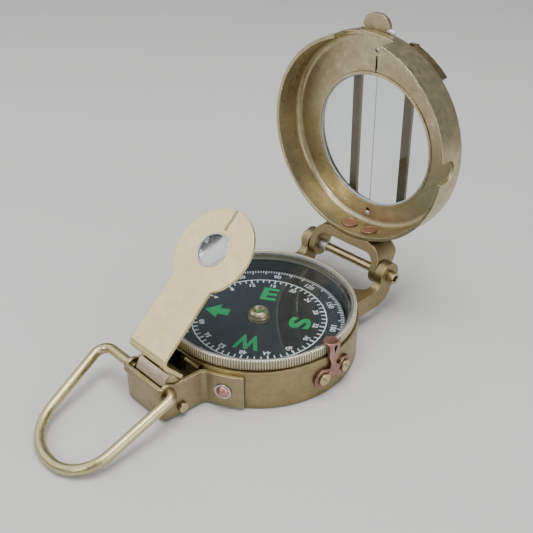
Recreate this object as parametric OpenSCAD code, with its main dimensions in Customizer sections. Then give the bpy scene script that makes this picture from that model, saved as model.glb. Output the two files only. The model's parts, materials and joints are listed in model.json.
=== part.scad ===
// Sighting compass: a brass case with a free-turning card, a folding cover
// with a sighting wire, a folding lens sight and a wire thumb loop.
// Millimetres. The origin is the centre of the case on its base, +Z up,
// +Y from the lens sight towards the cover hinge, +X to the index clip.

/* [Case] */
// Outer radius of the case
case_r = 28; // [28:0.1:28.2]
// Height of the case wall
case_h = 12.18; // [12.1:0.02:12.24]
// Thickness of the case wall
case_wall = 1; // [0.9:0.05:1.05]
// Thickness of the case floor
case_floor = 1.2; // [1:0.1:1.5]

/* [Bezel and crystal] */
// Outer radius of the turning bezel
bezel_r = 27.49; // [27.3:0.01:27.6]
// Height of the bezel's top above the base
bezel_top = 15.43; // [15.3:0.01:15.5]
// Thickness of the crystal
crystal_t = 1.2; // [1:0.1:1.3]

/* [Card] */
// Radius of the compass card
card_r = 24.6; // [23:0.1:25]
// Height of the card's printed face
card_top = 9.18; // [9:0.02:9.3]
// Direction of the card's north mark, counted from +X
card_north = -149.5; // [-180:0.5:180]

/* [Cover] */
// Outer radius of the cover
lid_r = 30.37; // [30.2:0.01:30.6]
// Depth of the cover from its mouth to its back face
lid_depth = 10; // [9.8:0.1:10.2]
// Angle that the cover stands open
lid_open = 88.43; // [80:0.01:90]
// Radius of the window
window_r = 20.8; // [20:0.1:21]
// Shift of the window towards the hinge
window_shift = 2.5; // [2:0.1:2.6]
// Distance of the guard bars from the middle of the window
bar_x = 9.2; // [8:0.1:10]

/* [Hinge] */
// Distance of the hinge axis behind the case centre
hinge_y = 38.36; // [38.2:0.02:38.5]
// Height of the hinge axis
hinge_z = 13.19; // [13.1:0.01:13.3]
// Radius of the hinge pin
hinge_pin_r = 1.4; // [1.3:0.05:1.5]

/* [Lens sight] */
// Angle that the sight plate stands above the level
sight_up = 40.55; // [38:0.05:42]
// Half the width of the sight's arm
sight_half = 6.84; // [6.6:0.02:6.9]
// Radius of the sight's disc
disc_r = 11.86; // [11:0.02:12]
// Radius of the lens
lens_r = 4.3; // [4:0.05:4.6]

/* [Stirrup and thumb loop] */
// Distance of the stirrup's front face from the case centre
strap_front = 40.7; // [40.5:0.1:40.9]
// Reach of the stirrup's front to the right of the middle
strap_half = 6.9; // [6.8:0.05:7]
// Reach of the stirrup's front to the left of the middle
strap_left = 8.6; // [8:0.1:9]
// Radius of the loop's wire
wire_r = 1.4; // [1.2:0.05:1.45]
// Reach of the loop from its pivot
loop_reach = 30.9; // [29:0.1:32]

/* [Hidden] */
$fn = 96;
tiny = 0.02;

// Finishes
brass = [0.66, 0.58, 0.38];
dark_brass = [0.48, 0.41, 0.27];
bright_brass = [0.82, 0.76, 0.58];
copper = [0.72, 0.43, 0.36];
silver = [0.78, 0.8, 0.82];
glass = [0.75, 0.85, 0.85, 0.35];

// Case, bezel and crystal
case_in = case_r - case_wall;
rim_gap = 0.17;
bezel_bottom = case_h + rim_gap;
spigot_r = case_in - 0.07;
spigot_in = spigot_r - 1;
spigot_z = case_h - 1.3;
bezel_seat_r = 26.45;
ledge_r = 25.2;
crystal_z = 13.2;
retainer_z = crystal_z + crystal_t + tiny;
retainer_h = 0.73;

// Card and its pivot
card_t = 0.5;
hub_r = 3.2;
hub_low = 7.6;
hub_top = 11.3;
post_r = 0.8;
needle_tip = 10.2;
magnet_x = 5.6;

// Hinge
hinge_x = 0.5;
ear_r = 4.1;
ear_in = 13.4;
ear_t = 2.8;
yoke_t = 1.6;
knuckle_r = 3.8;
knuckle_in = 10.9;
knuckle_out = 13.2;
run_gap = 0.05;
pin_bore = hinge_pin_r + run_gap;

// Cover, measured with the cover shut
lid_y = hinge_y - 37.92;
lid_z = hinge_z + 0.2;
lid_in = lid_r - 0.97;
lid_floor = 0.9;
lid_fillet = 1.9;
lid_back = lid_z + lid_depth;
window_y = lid_y + window_shift;
glass_r = 22.2;
glass_t = 1.2;
foot_h = 2.6;
bar_w = 2.8;
bar_t = 1.1;

// Lens sight, measured with the sight folded down
pin_y = -34.9;
pin_z = 3;
pin_r = 1;
knuckle_half = 6.1;
plate_t = 1;
plate_z = 16.7;
leg_y = -27.85;
bend_r = 2.3;
lens_y = 2.55;
lens_hole = lens_r + 0.45;
slot_w = 1;

// Stirrup
strap_t = 1;
strap_low = 0.85;
strap_high = 10.9;
strap_back = 8;
strap_end = -52;
loop_y = -38.2;
loop_z = 9.2;
lug_r = 2.5;
splay = atan((strap_back - strap_half) / 10);
rivet_az = -62.9;
rivet_z = 5.9;

// Thumb loop: it lies back from its pivot until its end meets the table
loop_drop = asin((loop_z - wire_r - 0.05) / loop_reach);

// Puts a shut cover part into its open place
module on_lid() {
    translate([0, hinge_y, hinge_z]) rotate([-lid_open, 0, 0])
        translate([0, -hinge_y, -hinge_z]) children();
}

// Puts a folded sight part into its raised place
module on_sight() {
    translate([0, pin_y, pin_z]) rotate([sight_up, 0, 0])
        translate([0, -pin_y, -pin_z]) children();
}

// A round bar along X, from x1 to x2, at the given y and z
module bar_x(x1, x2, y, z, r, n = 48) {
    translate([x1, y, z]) rotate([0, 90, 0]) cylinder(h = x2 - x1, r = r, $fn = n);
}

// A flat ring from z1 to z2
module ring(r1, r2, z1, z2) {
    rotate_extrude() translate([r1, z1]) square([r2 - r1, z2 - z1]);
}

// A pie-shaped prism that spans the directions a1 to a2
module sector(r, a1, a2, z1, z2) {
    steps = 6;
    far = r / cos((a2 - a1) / steps / 2);
    translate([0, 0, z1]) linear_extrude(z2 - z1)
        polygon(concat([[0, 0]], [for (i = [0:steps])
            let (a = a1 + (a2 - a1) * i / steps) far * [cos(a), sin(a)]]));
}

// Places its children on the case wall, facing outwards along local +Z
module on_wall(az, z, r = case_r) {
    rotate([0, 0, az]) translate([r, 0, z]) rotate([0, 90, 0]) children();
}

// Points of an arc
function arc(c, r, a1, a2, n = 8) =
    [for (i = [0:n]) let (a = a1 + (a2 - a1) * i / n) c + r * [cos(a), sin(a)]];

// Unit vector, left-hand normal and the rounding of a polyline's corners
function unit(v) = v / norm(v);
function left(v) = [-v[1], v[0]];
function turn(a, b) = atan2(a[0] * b[1] - a[1] * b[0], a * b);
function corner(p, q, s, r, n = 8) =
    let (u = unit(q - p), w = unit(s - q), t = turn(u, w),
         g = t > 0 ? 1 : -1, start = q - u * r * tan(abs(t) / 2),
         c = start + left(u) * r * g)
    [for (i = [0:n]) let (a = t * i / n, v = -left(u) * r * g)
        c + [v[0] * cos(a) - v[1] * sin(a), v[0] * sin(a) + v[1] * cos(a)]];

// The polyline moved sideways by d, mitred at each point
function shifted(path, d) =
    [for (i = [0:len(path) - 1])
        let (a = unit(path[max(i, 1)] - path[max(i, 1) - 1]),
             j = min(i, len(path) - 2),
             b = unit(path[j + 1] - path[j]), m = unit(a + b))
        path[i] + left(m) * d / (m * a)];
function reversed(list) = [for (i = [len(list) - 1:-1:0]) list[i]];
function band(path, t) = concat(shifted(path, t / 2), reversed(shifted(path, -t / 2)));

// Case ------------------------------------------------------------------

module case_cup() {
    window_low = 3;
    window_high = case_h - 0.65;
    chamfer = 0.35;
    color(dark_brass) difference() {
        rotate_extrude() polygon([
            [0, 0], [case_r - chamfer, 0], [case_r, chamfer], [case_r, case_h],
            [case_in, case_h], [case_in, case_floor], [0, case_floor]]);
        // relief and opening for the folded sight's leg, which presses the lifter
        translate([-7.2, -case_r - 1, window_low]) cube([14.4, 1.28, 20]);
        translate([-7.2, -case_r - 1, window_low]) cube([14.4, 6, window_high - window_low]);
    }
}

module card_pivot() {
    color(brass) rotate_extrude() polygon([
        [0, case_floor], [2.4, case_floor], [2.4, 2.2], [post_r, 2.6],
        [post_r, 8.6], [0.3, 9], [0.3, 9.6], [0, needle_tip]]);
}

// One arm of the case yoke, seen from the side: a low web that turns up to an ear
module yoke_arm_side() {
    polygon(concat(
        [[21, 5.2], [27, 4.7]],
        arc([33.2, 11], 6.4, -90, -10, 10),
        [[hinge_y + 1, hinge_z], [hinge_y - ear_r + 0.3, hinge_z + 0.8]],
        arc([31.6, 13.4], 2.9, -8, -90, 8),
        [[21, 10.5]]));
    translate([hinge_y, hinge_z]) circle(r = ear_r, $fn = 64);
}

// The case's yoke: a U that hugs the case wall and carries the two ears
module case_yoke() {
    half = ear_in + ear_t;
    round_r = 3.2;
    color(dark_brass) difference() {
        intersection() {
            translate([hinge_x - half, 0, 0]) rotate([90, 0, 90]) linear_extrude(2 * half)
                yoke_arm_side();
            translate([hinge_x, 0, 0]) linear_extrude(20) difference() {
                translate([-half, 20]) square([2 * half, 30]);
                difference() {
                    polygon(concat([[ear_in, 60], [-ear_in, 60]],
                        arc([round_r - ear_in, 32.3], round_r, 180, 245, 8),
                        [[-9, 28], [9, 28]],
                        arc([ear_in - round_r, 32.3], round_r, 295, 360, 8)));
                    translate([-hinge_x, 0]) circle(r = case_r + yoke_t, $fn = 128);
                }
            }
        }
        translate([0, 0, -1]) cylinder(h = 30, r = case_r + tiny);
        bar_x(-20, 20, hinge_y, hinge_z, pin_bore);
        for (az = [78, 102]) on_wall(az, 7.7, case_r - 1) cylinder(h = 4, r = 1.02, $fn = 32);
    }
}

module yoke_rivets() {
    color(copper) for (az = [78, 102])
        on_wall(az, 7.7, case_r + tiny) {
            cylinder(h = yoke_t + 0.05, r = 0.98, $fn = 32);
            translate([0, 0, yoke_t + 0.05]) rivet_dome(1.6, 0.6);
        }
}

// A low domed head on its flat face
module rivet_dome(r, h) {
    ball = (r * r + h * h) / (2 * h);
    rotate_extrude($fn = 48) intersection() {
        translate([0, h - ball]) circle(r = ball, $fn = 96);
        square([r, h]);
    }
}

// Stirrup ---------------------------------------------------------------

function strap_half_path(half) =
    let (mid = strap_t / 2,
         front = [half - mid, -strap_front + mid],
         wall = case_r + mid + 0.05,
         root_az = -74.2,
         root = wall * [cos(root_az), sin(root_az)],
         next = wall * [cos(-70), sin(-70)])
    concat(
        corner([0, -strap_front + mid], front, root, 1.1),
        corner(front, root, next, 2.2),
        [for (az = [-68:4:strap_end]) wall * [cos(az), sin(az)]]);

module stirrup_strap() {
    right = strap_half_path(strap_half);
    left_side = [for (p = reversed(strap_half_path(strap_left))) [-p[0], p[1]]];
    hole_r = wire_r + 0.07;
    color(dark_brass) difference() {
        union() {
            translate([0, 0, strap_low]) linear_extrude(strap_high - strap_low)
                polygon(band(concat(left_side, right), strap_t));
            translate([strap_half + (loop_y + strap_front) * tan(splay), loop_y, loop_z])
                rotate([0, 0, -splay]) translate([-strap_t, 0, 0]) rotate([0, 90, 0])
                    cylinder(h = strap_t, r = lug_r, $fn = 64);
            bar_x(-strap_left + 0.06, -strap_left + strap_t + 0.06, loop_y, loop_z, lug_r, 64);
        }
        bar_x(-12, 12, loop_y, loop_z, hole_r);
        bar_x(-12, 12, pin_y, pin_z, pin_r + 0.03);
        for (side = [-1, 1]) strap_rivet_place(side) cylinder(h = 4, r = 1.03, $fn = 32);
    }
}

module strap_rivet_place(side) {
    on_wall(side > 0 ? rivet_az : 180 - rivet_az, rivet_z, case_r + tiny) children();
}

module strap_rivets() {
    color(copper) for (side = [-1, 1]) strap_rivet_place(side) {
        cylinder(h = 1.35, r = 1, $fn = 32);
        translate([0, 0, 1.35]) rivet_dome(1.75, 1.1);
    }
}

module rivet_washers() {
    color(silver) for (side = [-1, 1]) strap_rivet_place(side)
        translate([0, 0, 1.08]) difference() {
            cylinder(h = 0.25, r = 2.3, $fn = 48);
            translate([0, 0, -1]) cylinder(h = 3, r = 1.03, $fn = 32);
        }
}

module sight_pin() {
    wall_x = strap_half + (pin_y + strap_front) * tan(splay);
    head_x = wall_x + 0.2;
    left_x = strap_left + 0.02;
    color(brass) {
        bar_x(-left_x, head_x, pin_y, pin_z, pin_r);
        bar_x(head_x, head_x + 0.8, pin_y, pin_z, 1.35);
        bar_x(-left_x - 0.5, -left_x, pin_y, pin_z, 1.25);
    }
}

// A bowed leaf that stands against the stirrup's front and leans on the sight's leg
module sight_spring() {
    spring_t = 0.45;
    face = strap_front - strap_t - 0.03;
    rise = 8.5;
    bow = 7.18;
    path = concat([[-face + spring_t / 2, 1.6]],
        arc([-face + bow, rise], bow - spring_t / 2, 180, 131.5, 12));
    color(silver) intersection() {
        translate([-6, 0, 0]) rotate([90, 0, 90]) linear_extrude(13) polygon(band(path, spring_t));
        // the leaf widens above the stirrup
        translate([0, -20, 0]) rotate([90, 0, 0]) linear_extrude(30)
            polygon([[-5, 0], [5.2, 0], [5.2, 10.9], [6.1, 11.6], [6.1, 20], [-5.3, 20], [-5, 10.9]]);
    }
}

// Index clip ------------------------------------------------------------

clip_t = 0.85;
clip_screw_az = 8.1;
clip_screw_z = 6.1;

// Outline of the clip's finger seen from outside: a slim waist under a broad hook
module finger_outline(shift, half, waist) {
    polygon([[3.2, 6.4], [shift + waist, 9.3], [shift + waist, 9.9], [shift + half, 12.7],
        [shift + half, 20], [shift - half, 20], [shift - half, 12.7], [shift - waist, 9.9],
        [shift - waist, 9.3], [-3.2, 6.4]]);
}

module index_clip() {
    lobe_r = 2.9;
    hook_r = 1.9;
    hook_y = -0.8;
    hook_z = bezel_top + 0.22;
    mid_x = case_r + clip_t / 2;
    color(copper) difference() {
        union() {
            intersection() {
                ring(case_r + tiny, case_r + clip_t, 2.5, 9);
                union() {
                    for (side = [-1, 1]) on_wall(side * clip_screw_az, clip_screw_z, 20)
                        cylinder(h = 12, r = lobe_r, $fn = 48);
                    translate([20, -3.8, clip_screw_z - 1.9]) cube([12, 7.6, 3.6]);
                }
            }
            intersection() {
                translate([0, 4, 0]) rotate([90, 0, 0]) linear_extrude(8)
                    polygon(band(concat([[mid_x + 0.03, 7]],
                        corner([mid_x + 0.03, 7], [mid_x + 0.05, 12], [28.8, hook_z], 2, 4),
                        corner([mid_x + 0.05, 12], [28.8, hook_z + clip_t / 2],
                            [26, hook_z + clip_t / 2], 0.9, 6),
                        [[27.4, hook_z + clip_t / 2]]), clip_t));
                rotate([90, 0, 90]) linear_extrude(40) finger_outline(hook_y, hook_r, 0.9);
            }
            translate([27.4, hook_y, hook_z]) cylinder(h = clip_t, r = hook_r, $fn = 48);
        }
        // teardrop sighting hole in the hook's bend
        translate([26.8, hook_y + 0.2, 0]) rotate([90, 0, 90]) linear_extrude(6)
            polygon(concat(arc([0, 15.2], 0.62, -10, 190, 10), [[-0.1, 12.9], [0.1, 12.9]]));
        for (side = [-1, 1]) on_wall(side * clip_screw_az, clip_screw_z, case_r - 1)
            cylinder(h = 4, r = 1.03, $fn = 32);
    }
}

module clip_screws() {
    color(bright_brass) for (side = [-1, 1])
        on_wall(side * clip_screw_az, clip_screw_z, case_r + tiny) {
            cylinder(h = clip_t + 0.05, r = 1, $fn = 32);
            translate([0, 0, clip_t + 0.05]) difference() {
                union() {
                    cylinder(h = 0.45, r = 1.75, $fn = 48);
                    translate([0, 0, 0.45]) rivet_dome(1.75, 0.35);
                }
                rotate([0, 0, 40]) translate([-3, -0.24, 0.35]) cube([6, 0.48, 2]);
            }
        }
}

// Card lifter -----------------------------------------------------------

lever_y = -24.4;
lever_z = 6.3;
lever_pin = 0.6;
lever_t = 0.6;

module lifter_bracket() {
    color(brass) {
        for (side = [-1, 1]) difference() {
            translate([side > 0 ? 3.1 : -3.9, lever_y - 1.3, case_floor])
                cube([0.8, 2.6, 6.3]);
            bar_x(-6, 6, lever_y, lever_z, lever_pin + 0.02, 24);
        }
        bar_x(-3.9, 3.9, lever_y, lever_z, lever_pin, 24);
        translate([-3.9, lever_y - 1.3, case_floor]) cube([7.8, 5, 0.5]);
    }
}

module lifter_lever() {
    arm_z = 5;
    tail_y = -27.9;
    color(brass) difference() {
        union() {
            bar_x(-2.9, 2.9, lever_y, lever_z, 1.3, 32);
            // long arm and the fork round the pivot post
            translate([-1.5, lever_y + 0.3, arm_z]) cube([3, -lever_y - 2.8, lever_t]);
            translate([0, 0, arm_z]) cylinder(h = lever_t, r = 3.4, $fn = 48);
            translate([-1.5, lever_y - 0.3, arm_z]) cube([3, 1.6, 1]);
            // tail that the folded sight presses
            translate([-2.5, lever_y - 1, 3.6]) cube([5, 0.8, 2.6]);
            translate([-2.5, tail_y, 3.6]) cube([5, lever_y - tail_y - 0.3, 0.7]);
        }
        bar_x(-6, 6, lever_y, lever_z, lever_pin + run_gap, 24);
        translate([0, 0, 2]) cylinder(h = 6, r = 1.9, $fn = 48);
        translate([-1.9, 0, 2]) cube([3.8, 6, 6]);
    }
}

// Bezel -----------------------------------------------------------------

module bezel_ring() {
    edge = 0.3;
    color(brass) rotate_extrude() polygon([
        [spigot_in, spigot_z], [spigot_r, spigot_z],
        [spigot_r, spigot_z + 0.35], [spigot_r - 0.5, spigot_z + 0.35],
        [spigot_r - 0.5, spigot_z + 0.95], [spigot_r, spigot_z + 0.95],
        [spigot_r, bezel_bottom], [bezel_r, bezel_bottom],
        [bezel_r, bezel_top - edge], [bezel_r - edge, bezel_top],
        [bezel_seat_r, bezel_top], [bezel_seat_r, crystal_z],
        [ledge_r, crystal_z], [ledge_r, bezel_bottom], [spigot_in, bezel_bottom - 0.6]]);
}

module crystal() {
    color(glass) translate([0, 0, crystal_z]) cylinder(h = crystal_t, r = bezel_seat_r - 0.03);
}

module crystal_retainer() {
    color(silver) ring(25.95, bezel_seat_r - 0.02, retainer_z, retainer_z + retainer_h);
}

module bezel_spring() {
    color(silver) difference() {
        ring(spigot_r - 0.45, spigot_r - 0.02, spigot_z + 0.4, spigot_z + 0.9);
        translate([-40, -1, 0]) cube([40, 2, 20]);
    }
}

// Card ------------------------------------------------------------------

module card_disc() {
    color([0.1, 0.13, 0.15]) ring(hub_r - 1, card_r, card_top - card_t, card_top);
}

module card_hub() {
    color(brass) rotate_extrude($fn = 64) polygon(concat(
        [[1.3, hub_low], [2.15, hub_low], [2.15, card_top + 0.02], [hub_r, card_top + 0.02],
         [hub_r, card_top + 0.37], [2.5, card_top + 0.5], [2.5, card_top + 0.8],
         [hub_r, card_top + 0.92], [hub_r, card_top + 1.1]],
        arc([1.3, card_top + 1.05], 1.75, 8, 72, 8),
        [[1.25, hub_top - 0.3], [1.25, hub_top - 0.7], [0, hub_top - 0.7], [0, 10.6], [1.3, 9.2]]));
}

module hub_jewel() {
    color([0.1, 0.6, 0.3]) translate([0, 0, hub_top - 0.68]) {
        cylinder(h = 0.4, r = 1.2, $fn = 48);
        translate([0, 0, 0.4]) rivet_dome(1.2, 0.3);
    }
}

module card_magnets() {
    color([0.35, 0.36, 0.38]) rotate([0, 0, card_north])
        for (side = [-1, 1]) translate([-8, side * magnet_x - 1.1, card_top - card_t - 1.3 - tiny])
            cube([16, 2.2, 1.3]);
}

// Cover hinge -----------------------------------------------------------

module hinge_pin() {
    end_x = ear_in + ear_t;
    color(brass) translate([hinge_x, 0, 0]) {
        bar_x(-end_x - 0.1, end_x - 0.1, hinge_y, hinge_z, hinge_pin_r);
        bar_x(end_x - 0.2, end_x + 0.9, hinge_y, hinge_z, 1);
        difference() {
            union() {
                bar_x(-end_x - 1.4, -end_x - 0.1, hinge_y, hinge_z, 2.5);
                bar_x(-end_x - 1.8, -end_x - 1.4, hinge_y, hinge_z, 2.2);
            }
            translate([-end_x - 3, hinge_y - 3, hinge_z - 0.25]) cube([2, 6, 0.5]);
        }
    }
}

module hinge_nut() {
    start = hinge_x + ear_in + ear_t + tiny;
    color(bright_brass) difference() {
        bar_x(start, start + 2.1, hinge_y, hinge_z, 1.85);
        bar_x(start - 1, start + 5, hinge_y, hinge_z, 1.02);
        translate([start + 1.5, hinge_y - 3, hinge_z - 0.25]) cube([4, 6, 0.5]);
    }
}

// Cover -----------------------------------------------------------------

leg_notch = 8;
leg_notch_h = 5.2;
clip_notch = 3.1;
lid_rivet_x = [-3.3, 4.7];

module lid_cup() {
    inner_fillet = 1.9;
    floor_in = lid_depth - lid_floor;
    color(dark_brass) on_lid() difference() {
        translate([0, lid_y, lid_z]) rotate_extrude($fn = 128) polygon(concat(
            [[lid_in, 0], [lid_r, 0]],
            arc([lid_r - lid_fillet, lid_depth - lid_fillet], lid_fillet, 0, 90, 6),
            [[0, lid_depth], [0, floor_in]],
            arc([lid_in - inner_fillet, floor_in - inner_fillet], inner_fillet, 90, 0, 6)));
        translate([0, window_y, lid_z]) cylinder(h = 20, r = window_r);
        // notch that clears the folded sight's leg
        translate([-leg_notch, lid_y - lid_r - 1, lid_z - 1])
            cube([2 * leg_notch, 4, leg_notch_h + 1]);
        // rounded notch that clears the index clip
        translate([lid_r - 4, lid_y - clip_notch, lid_z - 1])
            cube([6, 2 * clip_notch, 3.6]);
        translate([lid_r - 4, lid_y, lid_z + 2.5]) rotate([0, 90, 0])
            cylinder(h = 6, r = clip_notch, $fn = 48);
        // wire holes, the wire's slot and the groove that it lies in
        for (d = [24.64, -25.3]) translate([0, lid_y - d, lid_z + 5])
            cylinder(h = 9, r = 0.75, $fn = 24);
        translate([-0.35, lid_y - 23, lid_z + 5]) cube([0.7, 5, 9]);
        translate([-0.2, lid_y - 24.7, lid_back - 0.34]) cube([0.4, 49.9, 1]);
        for (x = lid_rivet_x) lid_rivet_place(x) cylinder(h = 6, r = 1.03, center = true, $fn = 32);
    }
}

// Where the two rivets hold the cover to its yoke, facing inwards
module lid_rivet_place(x) {
    translate([0, lid_y, lid_z + 4.5]) rotate([0, 0, 90 - x / lid_r * 180 / PI])
        translate([lid_in, 0, 0]) rotate([0, -90, 0]) children();
}

module lift_tab() {
    tab_z = lid_back - 2;
    half = 4.6;
    tip = lid_y - lid_r - 4.3;
    color(brass) on_lid() difference() {
        translate([0, 0, tab_z]) linear_extrude(1.2) polygon(concat(
            [[half, lid_y - lid_r + 2]],
            corner([half, lid_y - lid_r + 2], [half - 0.3, tip], [-half + 0.3, tip], 3.6, 8),
            corner([half - 0.3, tip], [-half + 0.3, tip], [-half, lid_y - lid_r + 2], 3.6, 8),
            [[-half, lid_y - lid_r + 2]]));
        translate([0, lid_y, lid_z]) cylinder(h = 12, r = lid_r + tiny, $fn = 128);
    }
}

// The cover's yoke: a thick U whose arms end in the hinge knuckles
module lid_yoke() {
    back = hinge_y + 8;
    color(dark_brass) on_lid() difference() {
        intersection() {
            translate([hinge_x, 0, 0]) linear_extrude(40) polygon(concat(
                [[knuckle_out, back]], arc([knuckle_out - 5, 35.2], 5, 0, -90, 10),
                [[5, 29], [-5, 29]],
                arc([5 - knuckle_out, 35.2], 5, -90, -180, 10),
                [[-knuckle_out, back], [-knuckle_in, back]],
                arc([3 - knuckle_in, 35.6], 3, 180, 270, 8),
                arc([knuckle_in - 3, 35.6], 3, -90, 0, 8),
                [[knuckle_in, back]]));
            translate([-20, 0, 0]) rotate([90, 0, 90]) linear_extrude(40) hull() {
                translate([hinge_y, hinge_z]) circle(r = knuckle_r, $fn = 48);
                translate([28, lid_z + 0.3]) square([5.6, 6.3]);
            }
        }
        translate([0, lid_y, lid_z - 2]) cylinder(h = 20, r = lid_r + tiny, $fn = 128);
        bar_x(-20, 20, hinge_y, hinge_z, pin_bore);
        for (x = lid_rivet_x) lid_rivet_place(x) cylinder(h = 12, r = 1.03, center = true, $fn = 32);
    }
}

module lid_rivets() {
    color(copper) on_lid() for (x = lid_rivet_x) lid_rivet_place(x) {
        translate([0, 0, -2.7]) cylinder(h = 2.85, r = 1, $fn = 32);
        translate([0, 0, 0.13]) difference() {
            cylinder(h = 0.32, r = 2.55, $fn = 48);
            translate([0, 0, 0.24]) cylinder(h = 1, r = 1.9, $fn = 48);
        }
    }
}

module window_ring() {
    color(brass) on_lid() translate([0, window_y, 0])
        ring(window_r - 0.75, window_r - tiny, lid_back - lid_floor - 0.25, lid_back - 0.34);
}

module window_glass() {
    color(glass) on_lid() translate([0, window_y, lid_back]) cylinder(h = glass_t, r = glass_r);
}

module glass_retainer() {
    color(brass) on_lid() translate([0, window_y, lid_back]) difference() {
        cylinder(h = glass_t + 0.7, r = glass_r + 1.4);
        translate([0, 0, -1]) cylinder(h = 1 + glass_t + tiny, r = glass_r + 0.03);
        cylinder(h = 6, r = window_r + 0.2);
    }
}

module sight_wire() {
    color(silver) on_lid() translate([0, lid_y - 24.4, lid_back - 0.17]) rotate([-90, 0, 0])
        cylinder(h = 49.3, r = 0.14, $fn = 16);
}

// The bead of solder that holds the wire's lower end
module wire_anchors() {
    color(silver) on_lid() translate([0, lid_y + 26.45, lid_back - lid_floor - tiny])
        mirror([0, 0, 1]) rivet_dome(1, 0.5);
}

// Guard bars: two straps that bridge the window on raised, curved feet
module guard_feet() {
    color(brass) on_lid() translate([0, lid_y, lid_back]) for (q = [45, 111, 225, 291])
        intersection() {
            ring(27, 29.4, 0, foot_h);
            sector(30, q, q + 24, 0, foot_h);
        }
}

module guard_bar(x) {
    color(brass) on_lid() translate([x - bar_w / 2, lid_y - 27.2, lid_back + foot_h])
        cube([bar_w, 54.4, bar_t]);
}

// Lens sight ------------------------------------------------------------

// Side outline of the bent strip: foot, leg and plate, down the middle of its thickness
function bracket_path() =
    let (mid = plate_t / 2, leg = leg_y - mid, foot = pin_z - 0.4)
    concat(
        [[pin_y + 1, foot]],
        corner([pin_y, foot], [leg, foot], [leg, 10], bend_r - mid),
        corner([leg, 10], [leg, plate_z + mid], [0, plate_z + mid], bend_r - mid),
        [[-20, plate_z + mid]]);

module bracket_strip(half) {
    translate([-half, 0, 0]) rotate([90, 0, 90]) linear_extrude(2 * half)
        polygon(band(bracket_path(), plate_t));
}

module sight_bracket() {
    neck_z = 8.6;
    color(bright_brass) on_sight() difference() {
        union() {
            bracket_strip(knuckle_half);
            intersection() {
                bracket_strip(sight_half);
                translate([-10, -40, neck_z]) cube([20, 30, 20]);
            }
            bar_x(-knuckle_half, knuckle_half, pin_y, pin_z, 1.95);
            translate([-sight_half, -21, plate_z]) cube([2 * sight_half, 14.5, plate_t]);
            translate([0, lens_y, plate_z]) cylinder(h = plate_t, r = disc_r);
        }
        bar_x(-10, 10, pin_y, pin_z, pin_r + run_gap);
        translate([0, lens_y, plate_z - 1]) cylinder(h = 4, r = lens_hole, $fn = 64);
        translate([-slot_w / 2, lens_y + lens_hole + 1.1, plate_z - 1]) cube([slot_w, 12, 4]);
    }
}

module sight_lens() {
    rim = lens_r - 0.05;
    bulge = 0.5;
    edge = 0.2;
    ball = (rim * rim + bulge * bulge) / (2 * bulge);
    reach = asin(rim / ball);
    face = arc([0, edge + bulge - ball], ball, 90 - reach, 90, 6);
    color(glass) on_sight() translate([0, lens_y, plate_z + plate_t / 2])
        rotate_extrude($fn = 64) polygon(concat(
            [for (p = reversed(face)) [p[0], -p[1]]], face));
}

module lens_ring() {
    color(silver) on_sight() translate([0, lens_y, 0])
        ring(lens_r, lens_hole - tiny, plate_z + 0.05, plate_z + plate_t + 0.12);
}

// Thumb loop ------------------------------------------------------------

loop_bends = [1.9, 10.2, 13.5, 3.2];
loop_points = [[6, 0], [9.1, 0], [9.5, -loop_reach], [-12.4, -loop_reach], [-21.4, 0], [-6.6, 0]];

// The wire's centre line: straights with a round corner at each inner point
function loop_path() = concat(
    [loop_points[0]],
    [for (i = [0:3], p = corner(loop_points[i], loop_points[i + 1], loop_points[i + 2],
        loop_bends[i], i == 0 || i == 3 ? 10 : 14)) p],
    [loop_points[5]]);

module thumb_loop() {
    sides = 24;
    path = loop_path();
    last = len(path) - 1;
    points = [for (i = [0:last], k = [0:sides - 1])
        let (a = unit(path[max(i, 1)] - path[max(i, 1) - 1]),
             j = min(i, last - 1),
             b = unit(path[j + 1] - path[j]), m = unit(a + b),
             side = left(m) / (m * a) * wire_r * cos(360 * k / sides))
        [path[i][0] + side[0], path[i][1] + side[1], wire_r * sin(360 * k / sides)]];
    walls = [for (i = [0:last - 1], k = [0:sides - 1])
        let (n = (k + 1) % sides)
        [i * sides + k, i * sides + n, (i + 1) * sides + n, (i + 1) * sides + k]];
    caps = [[for (k = [sides - 1:-1:0]) k], [for (k = [0:sides - 1]) last * sides + k]];
    color(brass) translate([0, loop_y, loop_z]) rotate([loop_drop, 0, 0])
        polyhedron(points, concat(walls, caps), convexity = 4);
}

case_cup();
card_pivot();
case_yoke();
yoke_rivets();
stirrup_strap();
strap_rivets();
rivet_washers();
sight_pin();
sight_spring();
index_clip();
clip_screws();
lifter_bracket();
lifter_lever();
bezel_ring();
crystal();
crystal_retainer();
bezel_spring();
card_disc();
card_hub();
hub_jewel();
card_magnets();
hinge_pin();
hinge_nut();
lid_cup();
lift_tab();
lid_yoke();
lid_rivets();
window_ring();
window_glass();
glass_retainer();
sight_wire();
wire_anchors();
guard_feet();
guard_bar(-bar_x);  // guard_bar_left
guard_bar(bar_x);  // guard_bar_right
sight_bracket();
sight_lens();
lens_ring();
thumb_loop();
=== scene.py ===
import json
import math

import bmesh
import bpy
from mathutils import Matrix, Vector


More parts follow.
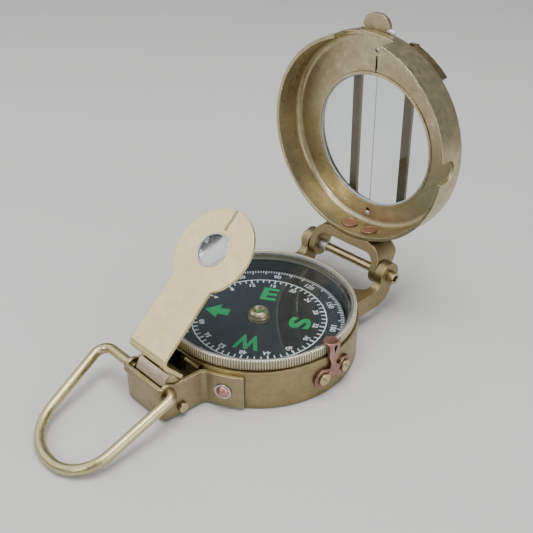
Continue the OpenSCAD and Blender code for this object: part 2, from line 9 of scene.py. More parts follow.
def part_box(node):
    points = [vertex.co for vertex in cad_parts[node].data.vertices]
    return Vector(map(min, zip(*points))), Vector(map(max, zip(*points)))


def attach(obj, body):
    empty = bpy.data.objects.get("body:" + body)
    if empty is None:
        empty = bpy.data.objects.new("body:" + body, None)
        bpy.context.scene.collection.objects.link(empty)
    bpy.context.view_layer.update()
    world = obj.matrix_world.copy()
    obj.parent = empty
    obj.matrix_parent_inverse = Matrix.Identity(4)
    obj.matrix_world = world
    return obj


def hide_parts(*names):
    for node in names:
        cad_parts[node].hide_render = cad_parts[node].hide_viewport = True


# Looks for the sighting compass. Everything is in metres, in the frame of the CAD model:
# the origin is the centre of the case on its base, +Z up, +Y towards the cover's hinge.
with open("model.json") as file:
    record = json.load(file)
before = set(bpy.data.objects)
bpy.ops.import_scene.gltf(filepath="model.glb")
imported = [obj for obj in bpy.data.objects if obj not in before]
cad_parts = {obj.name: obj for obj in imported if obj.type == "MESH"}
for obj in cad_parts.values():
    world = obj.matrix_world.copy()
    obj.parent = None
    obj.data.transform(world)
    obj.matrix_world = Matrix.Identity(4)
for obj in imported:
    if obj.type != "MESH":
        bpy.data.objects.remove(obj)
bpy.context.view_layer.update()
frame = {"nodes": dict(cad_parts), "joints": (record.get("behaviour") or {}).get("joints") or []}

MM = 0.001
CARD_NORTH = -149.5  # the card's north mark, in degrees from +X
PRINT_THICKNESS = 0.03 * MM
LINES_PER_METRE = 5200.0  # how fine the tool lines in the metal are

PALE_BRASS = (0.8, 0.69, 0.36)
OLIVE_BRASS = (0.36, 0.295, 0.155)
COVER_BRASS = (0.56, 0.49, 0.31)
KNURL_BRASS = (0.76, 0.69, 0.47)
BROWN_TARNISH = (0.19, 0.125, 0.055)
COPPER = (0.59, 0.34, 0.27)
STEEL = (0.62, 0.63, 0.64)
PRINT_WHITE = (0.72, 0.76, 0.78)
PRINT_GREEN = (0.004, 0.3, 0.09)


# Places and directions ----------------------------------------------------------------


def joint_place(name):
    """The point on a joint's axis."""
    found = [joint for joint in frame["joints"] if joint["name"] == name][0]
    return Vector(found["pos_m"])


def turned_about_x(point, degrees):
    """The matrix of a turn about a line along X through a point."""
    turn = Matrix.Rotation(math.radians(degrees), 4, "X")
    return Matrix.Translation(point) @ turn @ Matrix.Translation(-point)


COVER_OPEN_DEGREES = 88.43
COVER_OPEN = turned_about_x(joint_place("cover_shut"), -COVER_OPEN_DEGREES)


TAB_ROOT_Y = -30.15 * MM  # the lift tab's root with the cover shut
TAB_ROOT_Z = 21.95 * MM
COVER_SHUT_Y = 0.44 * MM  # the centre of the shut cover
WINDOW_SHUT_Y = 2.94 * MM  # the centre of the shut cover's window


def cover_axis_shift():
    """The move that brings the shut cover's own axis to Z."""
    return COVER_OPEN.inverted().translation - Vector((0.0, COVER_SHUT_Y, 0.0))


def heading(degrees, radius=1.0, height=0.0):
    """The point at a direction and radius from the card's centre."""
    angle = math.radians(degrees)
    return Vector((radius * math.cos(angle), radius * math.sin(angle), height))


# Node trees ---------------------------------------------------------------------------


def new_material(name):
    """An empty node material and its tree."""
    material = bpy.data.materials.new(name)
    material.use_nodes = True
    material.node_tree.nodes.clear()
    return material, material.node_tree


def finished(material, shader):
    """The material with its shader joined to the output."""
    tree = material.node_tree
    output = tree.nodes.new("ShaderNodeOutputMaterial")
    tree.links.new(shader.outputs[0], output.inputs["Surface"])
    return material


def add_node(tree, kind, inputs=None, **settings):
    """Add a shader node. An input's value is a number, a colour or another node's socket."""
    made = tree.nodes.new("ShaderNode" + kind)
    for name, value in settings.items():
        setattr(made, name, value)
    for name, value in (inputs or {}).items():
        if isinstance(value, bpy.types.NodeSocket):
            tree.links.new(value, made.inputs[name])
        else:
            made.inputs[name].default_value = value
    return made


def opaque(colour):
    """A colour with full alpha."""
    return (*colour, 1.0)


def scaled(colour, factor):
    """A colour made lighter or darker."""
    return tuple(min(1.0, part * factor) for part in colour)


def mixed(tree, factor, first, second, blend="MIX"):
    """The colour between two colours."""
    mix = tree.nodes.new("ShaderNodeMix")
    mix.data_type = "RGBA"
    mix.blend_type = blend
    for index, value in ((0, factor), (6, first), (7, second)):
        if isinstance(value, bpy.types.NodeSocket):
            tree.links.new(value, mix.inputs[index])
        else:
            mix.inputs[index].default_value = value
    return mix.outputs[2]


def maths(tree, operation, first, second=0.0):
    """The result of a sum on one or two values."""
    made = tree.nodes.new("ShaderNodeMath")
    made.operation = operation
    for index, value in ((0, first), (1, second)):
        if isinstance(value, bpy.types.NodeSocket):
            tree.links.new(value, made.inputs[index])
        else:
            made.inputs[index].default_value = value
    return made.outputs[0]


def remapped(tree, value, low, high, to_low=0.0, to_high=1.0):
    """A value moved from one range to another and kept inside it."""
    inputs = {
        "Value": value,
        "From Min": low,
        "From Max": high,
        "To Min": to_low,
        "To Max": to_high,
    }
    return add_node(tree, "MapRange", inputs).outputs["Result"]


def noise(tree, vector, scale, detail=4.0, roughness=0.55):
    """Soft noise from 0 to 1."""
    inputs = {"Vector": vector, "Scale": scale, "Detail": detail, "Roughness": roughness}
    return add_node(tree, "TexNoise", inputs).outputs["Fac"]


def object_coords(tree):
    """The point on the piece, which is its place in the frame at rest."""
    return add_node(tree, "TexCoord").outputs["Object"]


def stretched(tree, vector, scale, turn=(0.0, 0.0, 0.0), shift=(0.0, 0.0, 0.0)):
    """Coordinates moved, turned, then scaled."""
    moved = add_node(
        tree, "Mapping", {"Vector": vector, "Location": shift, "Rotation": turn}
    )
    sized = add_node(tree, "Mapping", {"Vector": moved.outputs[0], "Scale": scale})
    return sized.outputs[0]


def turned_streaks(tree, vector, scale):
    """Fine lines that run round the Z axis, as a lathe leaves them."""
    parts = add_node(tree, "SeparateXYZ", {"Vector": vector})
    x_part = parts.outputs["X"]
    y_part = parts.outputs["Y"]
    squares = maths(tree, "ADD", maths(tree, "MULTIPLY", x_part, x_part),
                    maths(tree, "MULTIPLY", y_part, y_part))
    radius = maths(tree, "SQRT", squares)
    angle = maths(tree, "ARCTAN2", y_part, x_part)
    packed = add_node(
        tree,
        "CombineXYZ",
        {
            "X": maths(tree, "MULTIPLY", radius, scale),
            "Y": maths(tree, "MULTIPLY", angle, 2.2),
            "Z": maths(tree, "MULTIPLY", parts.outputs["Z"], scale),
        },
    )
    return noise(tree, packed.outputs[0], 1.0, 3.0, 0.6)


def straight_streaks(tree, vector, turn, scale):
    """Fine lines that run along X of the turned coordinates."""
    long_way = scale / 45
    return noise(tree, stretched(tree, vector, (long_way, scale, scale), turn), 1.0, 3.0, 0.6)


def tool_lines(tree, place, lines, line_turn):
    """The fine lines that a tool left: turned, cover or straight."""
    if lines == "turned":
        return turned_streaks(tree, place, LINES_PER_METRE)
    if lines == "cover":
        shut_turn = (math.radians(COVER_OPEN_DEGREES), 0.0, 0.0)
        laid = stretched(tree, place, (1.0, 1.0, 1.0), shut_turn, cover_axis_shift())
        return turned_streaks(tree, laid, LINES_PER_METRE)
    return straight_streaks(tree, place, line_turn, LINES_PER_METRE)


def scratches(tree, vector, turn, scale, width):
    """Scattered thin scratches along one direction, from 0 to 1."""
    field = noise(tree, stretched(tree, vector, (scale / 30, scale, scale), turn), 1.0, 2.0, 0.5)
    distance = maths(tree, "ABSOLUTE", maths(tree, "SUBTRACT", field, 0.5))
    line = remapped(tree, distance, 0.0, width, 1.0, 0.0)
    patch = remapped(tree, noise(tree, vector, scale / 7, 2.0), 0.5, 0.62)
    return maths(tree, "MULTIPLY", line, patch)


def edge_mask(tree, soft_normal):
    """1 on sharp edges and 0 on flat faces."""
    plain = add_node(tree, "NewGeometry").outputs["Normal"]
    dot = add_node(tree, "VectorMath", operation="DOT_PRODUCT")
    tree.links.new(soft_normal, dot.inputs[0])
    tree.links.new(plain, dot.inputs[1])
    return remapped(tree, dot.outputs["Value"], 0.985, 0.9)


def upward_mask(tree, share):
    """The share of a painted highlight on faces that look straight up, and 0 elsewhere."""
    normal = add_node(tree, "NewGeometry").outputs["Normal"]
    upward = add_node(tree, "SeparateXYZ", {"Vector": normal}).outputs["Z"]
    return remapped(tree, upward, 0.8, 0.95, 0.0, share)


# Materials ----------------------------------------------------------------------------


def worn_metal(
    name,
    colour,
    tarnish=BROWN_TARNISH,
    tarnish_share=0.45,
    roughness=0.3,
    lines="straight",
    line_turn=(0.0, 0.0, 0.0),
    line_depth=0.05,
    scratch_depth=0.12,
    wave_depth=0.05,
    edge_radius=0.22 * MM,
    edge_light=0.55,
    shade=0.6,
    painted_top_highlight=0.0,
):
    """Handled metal: patches of tarnish, tool lines, thin scratches, edges lightened for wear and
    as a painted highlight, and painted shade in corners. lines is turned, cover (turned about the
    open cover's axis) or straight. The last argument paints a highlight on faces that look
    straight up."""
    material, tree = new_material(name)
    place = object_coords(tree)
    patches = noise(tree, place, 95.0, 5.0, 0.6)
    blotches = noise(tree, place, 430.0, 6.0, 0.65)
    grain = noise(tree, place, 4200.0, 3.0, 0.6)
    streaks = tool_lines(tree, place, lines, line_turn)

    stain = maths(tree, "ADD", maths(tree, "MULTIPLY", patches, 0.6),
                  maths(tree, "MULTIPLY", blotches, 0.4))
    stain = maths(tree, "ADD", stain, maths(tree, "MULTIPLY", streaks, 0.18))
    stain = remapped(tree, stain, 0.46, 0.74, 0.0, tarnish_share)
    body = mixed(tree, stain, opaque(colour), opaque(tarnish))
    freckles = remapped(tree, noise(tree, place, 900.0, 2.0, 0.7), 0.66, 0.74, 0.0, 0.35)
    body = mixed(tree, freckles, body, opaque(scaled(tarnish, 0.6)))

    # Edges made lighter in colour: partly real wear, partly a painted highlight; edge_light sets
    # how much.
    soft = add_node(tree, "Bevel", {"Radius": edge_radius}, samples=4).outputs["Normal"]
    edges = edge_mask(tree, soft)
    wear_and_highlight = maths(tree, "MULTIPLY", edges, remapped(tree, blotches, 0.35, 0.6, 0.3, 1.0))
    body = mixed(tree, maths(tree, "MULTIPLY", wear_and_highlight, edge_light), body,
                 opaque(scaled(colour, 1.9)))
    # Painted highlight: faces that look straight up are made lighter, as if lit from above.
    top_light_share = upward_mask(tree, painted_top_highlight)
    body = mixed(tree, top_light_share, body, opaque(scaled(colour, 2.0)))
    # Painted shade: corners and recesses, found by ambient occlusion, are darkened towards a dark
    # tarnish tone; shade sets how much.
    corners = add_node(tree, "AmbientOcclusion", {"Distance": 3.5 * MM}, samples=4)
    painted_corner_shade = remapped(tree, corners.outputs["AO"], 0.25, 0.85, shade, 0.0)
    body = mixed(tree, painted_corner_shade, body, opaque(scaled(tarnish, 0.35)))

    first = scratches(tree, place, (0.3, 0.5, 0.9), 1900.0, 0.012)
    second = scratches(tree, place, (1.2, 0.2, 2.2), 1500.0, 0.01)
    marks = maths(tree, "MAXIMUM", first, second)
    gloss = maths(tree, "ADD", remapped(tree, blotches, 0.3, 0.7, roughness - 0.07,
                                        roughness + 0.12),
                  maths(tree, "MULTIPLY", streaks, 0.06))
    gloss = maths(tree, "ADD", gloss, maths(tree, "MULTIPLY", stain, 0.2))
    gloss = maths(tree, "SUBTRACT", gloss, maths(tree, "MULTIPLY", wear_and_highlight, 0.1))

    height = maths(tree, "MULTIPLY", streaks, line_depth)
    height = maths(tree, "ADD", height, maths(tree, "MULTIPLY", grain, 0.02))
    height = maths(tree, "ADD", height, maths(tree, "MULTIPLY", blotches, wave_depth))
    height = maths(tree, "SUBTRACT", height, maths(tree, "MULTIPLY", marks, scratch_depth))
    bump = add_node(
        tree,
        "Bump",
        {"Height": height, "Normal": soft, "Strength": 0.5, "Distance": 0.1 * MM},
    )
    shader = add_node(
        tree,
        "BsdfPrincipled",
        {
            "Base Color": body,
            "Metallic": 1.0,
            "Roughness": gloss,
            "Normal": bump.outputs["Normal"],
        },
    )
    return finished(material, shader)


def clear_glass(name, tint, roughness=0.015, smears=0.02):
    """A clear pane: it lets light through and mirrors at a glancing angle, with faint
    smears in its gloss."""
    material, tree = new_material(name)
    place = object_coords(tree)
    smear = remapped(tree, noise(tree, place, 150.0, 3.0), 0.4, 0.7, roughness,
                     roughness + smears)
    through = add_node(tree, "BsdfTransparent", {"Color": opaque(tint)})
    mirror = add_node(tree, "BsdfGlossy", {"Color": (0.95, 0.97, 1.0, 1.0), "Roughness": smear})
    facing = add_node(tree, "LayerWeight", {"Blend": 0.5}).outputs["Facing"]
    glance = maths(tree, "MULTIPLY", maths(tree, "POWER", facing, 5.0), 0.94)
    share = maths(tree, "ADD", glance, 0.035)
    mix = add_node(tree, "MixShader", {"Fac": share})
    tree.links.new(through.outputs[0], mix.inputs[1])
    tree.links.new(mirror.outputs[0], mix.inputs[2])
    return finished(material, mix)


def lens_glass():
    """Solid glass that bends what is seen through it."""
    material, tree = new_material("lens_glass")
    place = object_coords(tree)
    dust = remapped(tree, noise(tree, place, 900.0, 3.0), 0.55, 0.75, 0.02, 0.12)
    shader = add_node(
        tree,
        "BsdfPrincipled",
        {
            "Base Color": (0.93, 0.96, 0.98, 1.0),
            "Roughness": dust,
            "IOR": 1.5,
            "Transmission Weight": 1.0,
        },
    )
    return finished(material, shader)


def print_ink(name, colour, roughness=0.45):
    """Screen-printed ink: slightly uneven in colour, gloss and thickness."""
    material, tree = new_material(name)
    place = object_coords(tree)
    cloud = noise(tree, place, 1400.0, 4.0, 0.7)
    tone = mixed(tree, remapped(tree, cloud, 0.35, 0.7), opaque(scaled(colour, 0.82)),
                 opaque(scaled(colour, 1.12)))
    gloss = remapped(tree, cloud, 0.3, 0.7, roughness - 0.08, roughness + 0.12)
    bump = add_node(
        tree, "Bump", {"Height": cloud, "Strength": 0.25, "Distance": 0.02 * MM}
    )
    shader = add_node(
        tree,
        "BsdfPrincipled",
        {"Base Color": tone, "Roughness": gloss, "Normal": bump.outputs["Normal"]},
    )
    return finished(material, shader)


def card_face():
    """The card's satin black print, with dust specks and a faint sheen."""
    material, tree = new_material("card_face")
    place = object_coords(tree)
    cloud = noise(tree, place, 240.0, 4.0, 0.6)
    tone = mixed(tree, remapped(tree, cloud, 0.35, 0.7), (0.011, 0.016, 0.019, 1.0),
                 (0.019, 0.026, 0.029, 1.0))
    specks = remapped(tree, noise(tree, place, 3800.0, 1.0, 0.4), 0.73, 0.78, 0.0, 0.5)
    tone = mixed(tree, specks, tone, (0.16, 0.17, 0.17, 1.0))
    gloss = remapped(tree, cloud, 0.3, 0.7, 0.36, 0.5)
    bump = add_node(
        tree,
        "Bump",
        {
            "Height": noise(tree, place, 5200.0, 2.0),
            "Strength": 0.12,
            "Distance": 0.02 * MM,
        },
    )
    shader = add_node(
        tree,
        "BsdfPrincipled",
        {"Base Color": tone, "Roughness": gloss, "Normal": bump.outputs["Normal"]},
    )
    return finished(material, shader)


def jewel_green():
    """Dark green glassy stone."""
    material, tree = new_material("jewel_green")
    place = object_coords(tree)
    cloud = noise(tree, place, 1600.0, 3.0)
    tone = mixed(tree, remapped(tree, cloud, 0.35, 0.65), (0.01, 0.09, 0.02, 1.0),
                 (0.03, 0.24, 0.05, 1.0))
    shader = add_node(
        tree,
        "BsdfPrincipled",
        {
            "Base Color": tone,
            "Roughness": remapped(tree, cloud, 0.3, 0.7, 0.1, 0.22),
            "Coat Weight": 1.0,
        },
    )
    return finished(material, shader)


def crusty(name, dark, light, metallic):
    """Dull pale solder or putty with a crusty surface."""
    material, tree = new_material(name)
    place = object_coords(tree)
    cloud = noise(tree, place, 2600.0, 5.0, 0.7)
    tone = mixed(tree, remapped(tree, cloud, 0.35, 0.65), opaque(dark), opaque(light))
    bump = add_node(
        tree, "Bump", {"Height": cloud, "Strength": 0.6, "Distance": 0.12 * MM}
    )
    shader = add_node(
        tree,
        "BsdfPrincipled",
        {
            "Base Color": tone,
            "Metallic": metallic,
            "Roughness": remapped(tree, cloud, 0.3, 0.7, 0.35, 0.6),
            "Normal": bump.outputs["Normal"],
        },
    )
    return finished(material, shader)


def floor_grey():
    """The plain pale floor."""
    material, tree = new_material("floor_grey")
    place = object_coords(tree)
    tone = mixed(tree, noise(tree, place, 30.0, 2.0), (0.55, 0.545, 0.53, 1.0),
                 (0.57, 0.565, 0.55, 1.0))
    shader = add_node(tree, "BsdfPrincipled", {"Base Color": tone, "Roughness": 0.85})
    return finished(material, shader)


# Mesh building ------------------------------------------------------------------------


def new_piece(name, mesh, material, body):
    """Place a mesh as a piece of the model that rides on a body."""
    piece = bpy.data.objects.new(name, mesh)
    bpy.context.scene.collection.objects.link(piece)
    mesh.materials.clear()
    mesh.materials.append(material)
    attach(piece, body)
    return piece


def mesh_from(name, build):
    """A mesh made from a finished bmesh, with its normals outwards."""
    bmesh.ops.recalc_face_normals(build, faces=build.faces)
    mesh = bpy.data.meshes.new(name)
    build.to_mesh(mesh)
    build.free()
    return mesh


def smooth_below(mesh, degrees):
    """Smooth shading, with edges sharper than an angle left crisp."""
    for face in mesh.polygons:
        face.use_smooth = True
    mesh.set_sharp_from_angle(angle=math.radians(degrees))


def add_revolved(build, steps, profile_at):
    """Add a closed ring: profile_at(step) gives the outline at each step round Z."""
    rings = []
    for step in range(steps):
        angle = 2 * math.pi * step / steps
        side = Vector((math.cos(angle), math.sin(angle), 0.0))
        rings.append(
            [build.verts.new(side * radius + Vector((0, 0, z))) for radius, z in profile_at(step)]
        )
    for step, ring in enumerate(rings):
        after = rings[(step + 1) % steps]
        count = len(ring)
        for index in range(count):
            following = (index + 1) % count
            build.faces.new((ring[index], ring[following], after[following], after[index]))


def add_plate(build, outline, low, high):
    """Add a thin flat plate with the given outline."""
    bottom = [build.verts.new((x, y, low)) for x, y in outline]
    top = [build.verts.new((x, y, high)) for x, y in outline]
    build.faces.new(list(reversed(bottom)))
    build.faces.new(top)
    count = len(outline)
    for index in range(count):
        following = (index + 1) % count
        build.faces.new((bottom[index], bottom[following], top[following], top[index]))


def add_text(build, words, height, width, weight, place):
    """Add raised lettering: flat text of the given height, moved by a matrix. A width of
    None keeps the letters' own proportions."""
    curve = bpy.data.curves.new("lettering", type="FONT")
    curve.body = words
    curve.align_x = "CENTER"
    curve.offset = weight
    curve.extrude = 0.5
    curve.resolution_u = 4
    holder = bpy.data.objects.new("lettering", curve)
    bpy.context.scene.collection.objects.link(holder)
    bpy.context.view_layer.update()
    flat = bpy.data.meshes.new_from_object(holder.evaluated_get(
        bpy.context.evaluated_depsgraph_get()))
    bpy.data.objects.remove(holder)
    bpy.data.curves.remove(curve)
    xs = [vertex.co.x for vertex in flat.vertices]
    ys = [vertex.co.y for vertex in flat.vertices]
    tall = height / (max(ys) - min(ys))
    wide = tall if width is None else width / (max(xs) - min(xs))
    middle = Vector(((max(xs) + min(xs)) / 2, (max(ys) + min(ys)) / 2, 0.0))
    size = Matrix.Diagonal((wide, tall, PRINT_THICKNESS, 1.0))
    flat.transform(place @ size @ Matrix.Translation(-middle))
    build.from_mesh(flat)
    bpy.data.meshes.remove(flat)


# The bezel ----------------------------------------------------------------------------


def knurled_bezel(material):
    """The turning bezel with its fine straight knurl, in place of the plain CAD ring."""
    lowest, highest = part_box("bezel_ring")
    crystal_low, crystal_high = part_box("crystal")
    ridges = 244
    steps_per_ridge = 4
    outer = highest.x
    root = outer - 0.38 * MM
    seat = crystal_high.x + 0.03 * MM
    ledge = seat - 1.25 * MM
    spigot = outer - 0.56 * MM
    groove = spigot - 0.5 * MM
    top = highest.z
    lip = top - 3.08 * MM
    knurl_low = lip + 0.42 * MM

    def profile(step):
        crest = outer if step % steps_per_ridge in (1, 2) else root
        return (
            (spigot - 1.0 * MM, lowest.z),
            (spigot, lowest.z),
            (spigot, lowest.z + 0.35 * MM),
            (groove, lowest.z + 0.35 * MM),
            (groove, lowest.z + 0.95 * MM),
            (spigot, lowest.z + 0.95 * MM),
            (spigot, lip),
            (root, lip),
            (root, knurl_low - 0.1 * MM),
            (crest, knurl_low),
            (crest, top - 0.36 * MM),
            (crest - 0.08 * MM, top - 0.14 * MM),
            (root - 0.12 * MM, top),
            (seat + 0.12 * MM, top),
            (seat, top - 0.12 * MM),
            (seat, crystal_low.z),
            (ledge, crystal_low.z),
            (ledge, lip),
            (spigot - 1.0 * MM, lip - 0.6 * MM),
        )

    build = bmesh.new()
    add_revolved(build, ridges * steps_per_ridge, profile)
    mesh = mesh_from("bezel_knurled", build)
    smooth_below(mesh, 20)
    piece = new_piece("bezel_knurled", mesh, material, "bezel")
    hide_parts("bezel_ring")


# The card's printing ------------------------------------------------------------------


def card_surface():
    """The height of the card's printed face."""
    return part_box("card_disc")[1].z


def label_place(degrees, radius):
    """Where lettering stands on the card, its top outwards."""
    base = card_surface() + PRINT_THICKNESS * 0.6
    spot = heading(degrees, radius, base)
    return Matrix.Translation(spot) @ Matrix.Rotation(math.radians(degrees - 90), 4, "Z")


def add_tick(build, degrees, inner, outer, width):
    """Add one radial line of a scale."""
    base = card_surface() + 0.1 * PRINT_THICKNESS
    along = heading(degrees)
    across = heading(degrees + 90) * width / 2
    corners = (
        along * inner - across,
        along * outer - across,
        along * outer + across,
        along * inner + across,
    )
    add_plate(build, [(c.x, c.y) for c in corners], base, base + PRINT_THICKNESS)


def mil_scale(material):
    """The inner scale: a white circle with 64 lines inside it, and its numbers."""
    circle = 19.38 * MM
    divisions = 64
    numbered = 4
    base = card_surface() + 0.1 * PRINT_THICKNESS
    build = bmesh.new()
    inner = circle - 0.32 * MM
    ring = (
        (inner, base),
        (circle, base),
        (circle, base + PRINT_THICKNESS),
        (inner, base + PRINT_THICKNESS),
    )
    add_revolved(build, 240, lambda step: ring)
    step = 360 / divisions
    for line in range(divisions):
        main = line % numbered == 0
        length = 1.85 * MM if main else 1.6 * MM
        width = 0.5 * MM if main else 0.36 * MM
        add_tick(build, CARD_NORTH - step * line, circle - length, inner, width)
    for number in range(numbered, divisions, numbered):
        place = label_place(CARD_NORTH - step * number, circle - 2.95 * MM)
        add_text(build, str(number), 1.55 * MM, None, 0.02, place)
    mesh = mesh_from("mil_scale", build)
    new_piece("mil_scale", mesh, material, "card")


def degree_scale(material):
    """The outer scale: a line every two degrees, with a number every thirty."""
    rim = 24.3 * MM
    number_radius = 21.45 * MM
    build = bmesh.new()
    for line in range(180):
        longer = line % 5 == 0
        length = 1.75 * MM if longer else 1.05 * MM
        width = 0.34 * MM if longer else 0.27 * MM
        add_tick(build, CARD_NORTH - 2 * line, rim - length, rim, width)
    for number in range(30, 360, 30):
        place = label_place(CARD_NORTH - number, number_radius)
        add_text(build, str(number), 1.7 * MM, None, 0.015, place)
    mesh = mesh_from("degree_scale", build)
    new_piece("degree_scale", mesh, material, "card")


def compass_points(material):
    """The green letters and the north arrow."""
    letter_height = 6.3 * MM
    letter_radius = 11.9 * MM
    build = bmesh.new()
    for letter, turn, width in (("E", 90, 4.7), ("S", 180, 5.1), ("W", 270, 7.2)):
        place = label_place(CARD_NORTH - turn, letter_radius)
        add_text(build, letter, letter_height, width * MM, 0.035, place)
    arrow = (
        (9.0, -1.5), (12.1, -1.5), (12.1, -3.3), (16.3, 0.0), (12.1, 3.3), (12.1, 1.5), (9.0, 1.5),
    )
    turn = Matrix.Rotation(math.radians(CARD_NORTH), 4, "Z")
    corners = [turn @ Vector((x * MM, y * MM, 0)) for x, y in arrow]
    base = card_surface() + 0.1 * PRINT_THICKNESS
    add_plate(build, [(c.x, c.y) for c in corners], base, base + PRINT_THICKNESS)
    mesh = mesh_from("compass_points", build)
    new_piece("compass_points", mesh, material, "card")


# Solder and putty ---------------------------------------------------------------------


def add_blob(build, centre, size):
    """Add a lump of solder: a squashed ball, in the shut cover's place."""
    place = Matrix.Translation(centre) @ Matrix.Diagonal((*size, 1.0))
    bmesh.ops.create_icosphere(build, subdivisions=3, radius=1.0, matrix=place)


def tab_solder(material):
    """The pale lumps of solder at both roots of the lift tab."""
    half_tab = 4.5 * MM
    build = bmesh.new()
    for side in (-1, 1):
        for outward, back, reach in ((0.0, 0.0, 1.25), (0.825, 0.28875, 0.8)):
            spot = Vector((side * (half_tab + outward * MM), TAB_ROOT_Y + back * MM, TAB_ROOT_Z))
            add_blob(build, spot, Vector((reach, 0.62, 0.75)) * MM)
    build.transform(COVER_OPEN)
    mesh = mesh_from("tab_solder", build)
    smooth_below(mesh, 60)
    new_piece("tab_solder", mesh, material, "cover")


def rod_collar(material):
    """The bright collar of solder on the hinge rod beside the left knuckle."""
    axis = joint_place("cover_shut")
    middle_x = -9.0 * MM
    outline = ((1.38, -1.3), (1.75, -1.3), (1.85, -1.0), (1.7, 0.2), (1.8, 1.1), (1.6, 1.3),
               (1.38, 1.3))
    build = bmesh.new()
    ring = [(radius * MM, along * MM) for radius, along in outline]
    add_revolved(build, 48, lambda step: ring)
    lying = Matrix.Rotation(math.radians(90), 4, "Y")
    build.transform(Matrix.Translation((middle_x, axis.y, axis.z)) @ lying)
    mesh = mesh_from("rod_collar", build)
    smooth_below(mesh, 50)
    new_piece("rod_collar", mesh, material, "case")


def window_putty(material):
    """The pale bead of putty between the window's bead and its glass."""
    inner = 19.62 * MM
    outer = 20.02 * MM
    back = 23.02 * MM
    build = bmesh.new()
    ring = ((inner, back - 0.04 * MM), (outer, back - 0.4 * MM), (outer, back), (inner, back))
    add_revolved(build, 128, lambda step: ring)
    build.transform(COVER_OPEN @ Matrix.Translation((0.0, WINDOW_SHUT_Y, 0.0)))
    mesh = mesh_from("window_putty", build)
    smooth_below(mesh, 40)
    new_piece("window_putty", mesh, material, "cover")


def wall_liner(material):
    """A thin dark ring in the card's black finish, lining the wall round the card under the
    crystal.
    """
    card_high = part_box("card_disc")[1].z
    crystal_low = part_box("crystal")[0].z
    outer = 25.15 * MM
    inner = 24.93 * MM
    build = bmesh.new()
    ring = ((inner, card_high - 0.6 * MM), (outer, card_high - 0.6 * MM),
            (outer, crystal_low - 0.12 * MM), (inner, crystal_low - 0.12 * MM))
    add_revolved(build, 192, lambda step: ring)
    mesh = mesh_from("wall_liner", build)
    smooth_below(mesh, 40)
    new_piece("wall_liner", mesh, material, "case")


# The CAD nodes' finishes --------------------------------------------------------------


def dress(material, *names):
    """Give CAD nodes their material."""
    for name in names:
        mesh = frame["nodes"][name].data
        mesh.materials.clear()
        mesh.materials.append(material)


def dress_case():
    """Finishes of the case, the stirrup, the hinge and the loop."""
    case = worn_metal("case_brass", OLIVE_BRASS, roughness=0.32, lines="turned")
    plate = worn_metal(
        "stirrup_brass", (0.37, 0.32, 0.19), roughness=0.3, line_turn=(0.0, 0.0, 1.2),
        edge_light=0.9, painted_top_highlight=0.75,
    )
    bright = worn_metal("bright_brass", (0.6, 0.5, 0.29), tarnish_share=0.3, roughness=0.22)
    loop = worn_metal(
        "loop_brass", (0.58, 0.5, 0.28), tarnish=(0.34, 0.27, 0.12), tarnish_share=0.35,
        roughness=0.24, line_turn=(0.0, 0.0, 1.5708), line_depth=0.01, scratch_depth=0.0,
        wave_depth=0.0, shade=0.4,
    )
    spring = worn_metal(
        "spring_leaf", (0.62, 0.53, 0.4), tarnish=(0.42, 0.33, 0.22), tarnish_share=0.5,
        roughness=0.27, wave_depth=0.02, scratch_depth=0.05,
    )
    dress(case, "case_cup", "case_yoke", "lid_yoke", "card_pivot", "lifter_bracket",
          "lifter_lever")
    dress(plate, "stirrup_strap")
    dress(bright, "sight_pin", "clip_screws", "hinge_pin", "hinge_nut", "window_ring")
    dress(loop, "thumb_loop")
    dress(spring, "sight_spring")


def dress_small_parts():
    """Finishes of the copper, steel and glass parts."""
    copper = worn_metal("copper", COPPER, tarnish=(0.2, 0.07, 0.045), roughness=0.3)
    clip = worn_metal(
        "clip_copper", scaled(COPPER, 0.8), tarnish=(0.12, 0.055, 0.04), tarnish_share=0.75,
        roughness=0.27, edge_light=0.85, shade=0.8,
    )
    steel = worn_metal("steel", STEEL, tarnish=(0.3, 0.3, 0.3), tarnish_share=0.3, roughness=0.25)
    dress(copper, "yoke_rivets", "strap_rivets", "lid_rivets")
    dress(clip, "index_clip")
    dress(steel, "rivet_washers", "crystal_retainer", "bezel_spring", "sight_wire",
          "wire_anchors", "lens_ring")
    dress(clear_glass("pane_glass", (0.96, 0.98, 0.985)), "crystal", "window_glass")
    dress(lens_glass(), "sight_lens")


def dress_cover_and_sight():
    """Finishes of the cover, its guard bars and the sight plate."""
    cover = worn_metal(
        "cover_brass", COVER_BRASS, tarnish=(0.27, 0.205, 0.1), tarnish_share=0.55,
        roughness=0.24, lines="cover", edge_light=0.9, wave_depth=0.03,
    )
    bars = worn_metal("bar_brass", scaled(OLIVE_BRASS, 0.6), roughness=0.35)
    sight = worn_metal(
        "sight_brass", PALE_BRASS, tarnish=(0.45, 0.36, 0.2), tarnish_share=0.25, roughness=0.24,
        line_turn=(0.0, 0.0, 1.5708), line_depth=0.03, shade=0.3,
    )
    dress(cover, "lid_cup", "lift_tab", "glass_retainer")
    dress(bars, "guard_feet", "guard_bar_left", "guard_bar_right")
    dress(sight, "sight_bracket")


def dress_card():
    """The card's finishes and the dark wall round it."""
    hub = worn_metal(
        "hub_brass", (0.66, 0.55, 0.34), tarnish_share=0.2, roughness=0.33, line_depth=0.02,
        shade=0.3,
    )
    magnet = worn_metal("magnet_steel", (0.2, 0.21, 0.22), tarnish=(0.1, 0.1, 0.1))
    black = card_face()
    dress(hub, "card_hub")
    dress(magnet, "card_magnets")
    dress(black, "card_disc")
    dress(jewel_green(), "hub_jewel")
    wall_liner(black)


def print_card():
    """The card's scales and letters."""
    ink = print_ink("ink_white", PRINT_WHITE)
    mil_scale(ink)
    degree_scale(ink)
    compass_points(print_ink("ink_green", PRINT_GREEN))


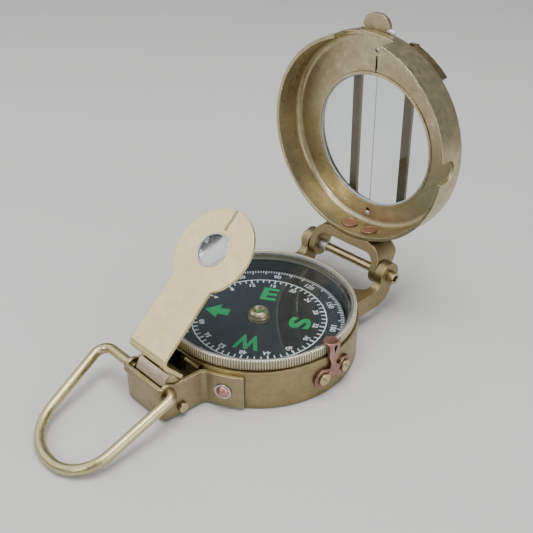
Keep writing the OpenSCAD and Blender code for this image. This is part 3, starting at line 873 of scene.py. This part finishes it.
def add_bezel():
    """The knurled bezel and its finish."""
    bezel = worn_metal(
        "bezel_brass", KNURL_BRASS, roughness=0.3, lines="turned", edge_light=0.95,
        painted_top_highlight=0.6,
    )
    knurled_bezel(bezel)


def add_solder():
    """The solder and the putty."""
    tab_solder(crusty("solder_grey", (0.34, 0.34, 0.33), (0.78, 0.79, 0.8), 0.7))
    rod_collar(crusty("solder_bright", (0.55, 0.56, 0.56), (0.85, 0.86, 0.87), 0.9))
    window_putty(crusty("putty_pale", (0.3, 0.36, 0.38), (0.5, 0.56, 0.57), 0.0))


# Floor, light and camera --------------------------------------------------------------


def floor():
    """A plain pale floor under the case."""
    build = bmesh.new()
    bmesh.ops.create_grid(build, x_segments=1, y_segments=1, size=3.0)
    mesh = mesh_from("floor", build)
    mesh.materials.append(floor_grey())
    plane = bpy.data.objects.new("floor", mesh)
    plane.location = (0.0, 0.0, -0.02 * MM)
    bpy.context.scene.collection.objects.link(plane)


def soft_box(name, place, target, size, power, colour=(1.0, 1.0, 1.0)):
    """A large soft lamp that faces a point."""
    lamp = bpy.data.lights.new(name, "AREA")
    lamp.shape = "SQUARE"
    lamp.size = size
    lamp.energy = power
    lamp.color = colour
    holder = bpy.data.objects.new(name, lamp)
    holder.location = place
    aim = Vector(target) - Vector(place)
    holder.rotation_euler = aim.to_track_quat("-Z", "Y").to_euler()
    bpy.context.scene.collection.objects.link(holder)


def studio():
    """Soft light from overhead and three sides, and a dim even surround."""
    middle = (0.0, 0.0, 0.03)
    soft_box("key_left", (-0.46, -0.3, 0.44), middle, 0.7, 2.0)
    soft_box("overhead", (0.08, -0.02, 0.8), middle, 0.5, 6.5)
    soft_box("fill_right", (0.6, 0.02, 0.26), middle, 0.5, 2.0)
    soft_box("strip_front", (0.1, -0.62, 0.5), middle, 0.22, 1.6)
    world = bpy.data.worlds.new("surround")
    world.use_nodes = True
    world.node_tree.nodes["Background"].inputs["Color"].default_value = (0.8, 0.82, 0.85, 1.0)
    world.node_tree.nodes["Background"].inputs["Strength"].default_value = 0.32
    bpy.context.scene.world = world


def camera():
    """The camera at the photograph's place and angle."""
    lens_mm = 49.805
    sensor_mm = 36.0
    yaw, pitch, roll = (math.radians(angle) for angle in (45.53, -32.38, -0.27))
    forward = Vector((-math.sin(yaw) * math.cos(pitch), math.cos(yaw) * math.cos(pitch),
                      math.sin(pitch)))
    level = Vector((math.cos(yaw), math.sin(yaw), 0.0))
    upward = level.cross(forward)
    right = level * math.cos(roll) + upward * math.sin(roll)
    above = upward * math.cos(roll) - level * math.sin(roll)
    view = bpy.data.cameras.new("camera")
    view.lens = lens_mm
    view.sensor_width = sensor_mm
    view.clip_start = 0.005
    holder = bpy.data.objects.new("camera", view)
    turn = Matrix((right, above, -forward)).transposed().to_4x4()
    holder.matrix_world = Matrix.Translation((0.122987, -0.117724, 0.134211)) @ turn
    bpy.context.scene.collection.objects.link(holder)
    bpy.context.scene.camera = holder


camera()
studio()
floor()
dress_case()
dress_small_parts()
dress_cover_and_sight()
dress_card()
add_bezel()
print_card()
add_solder()
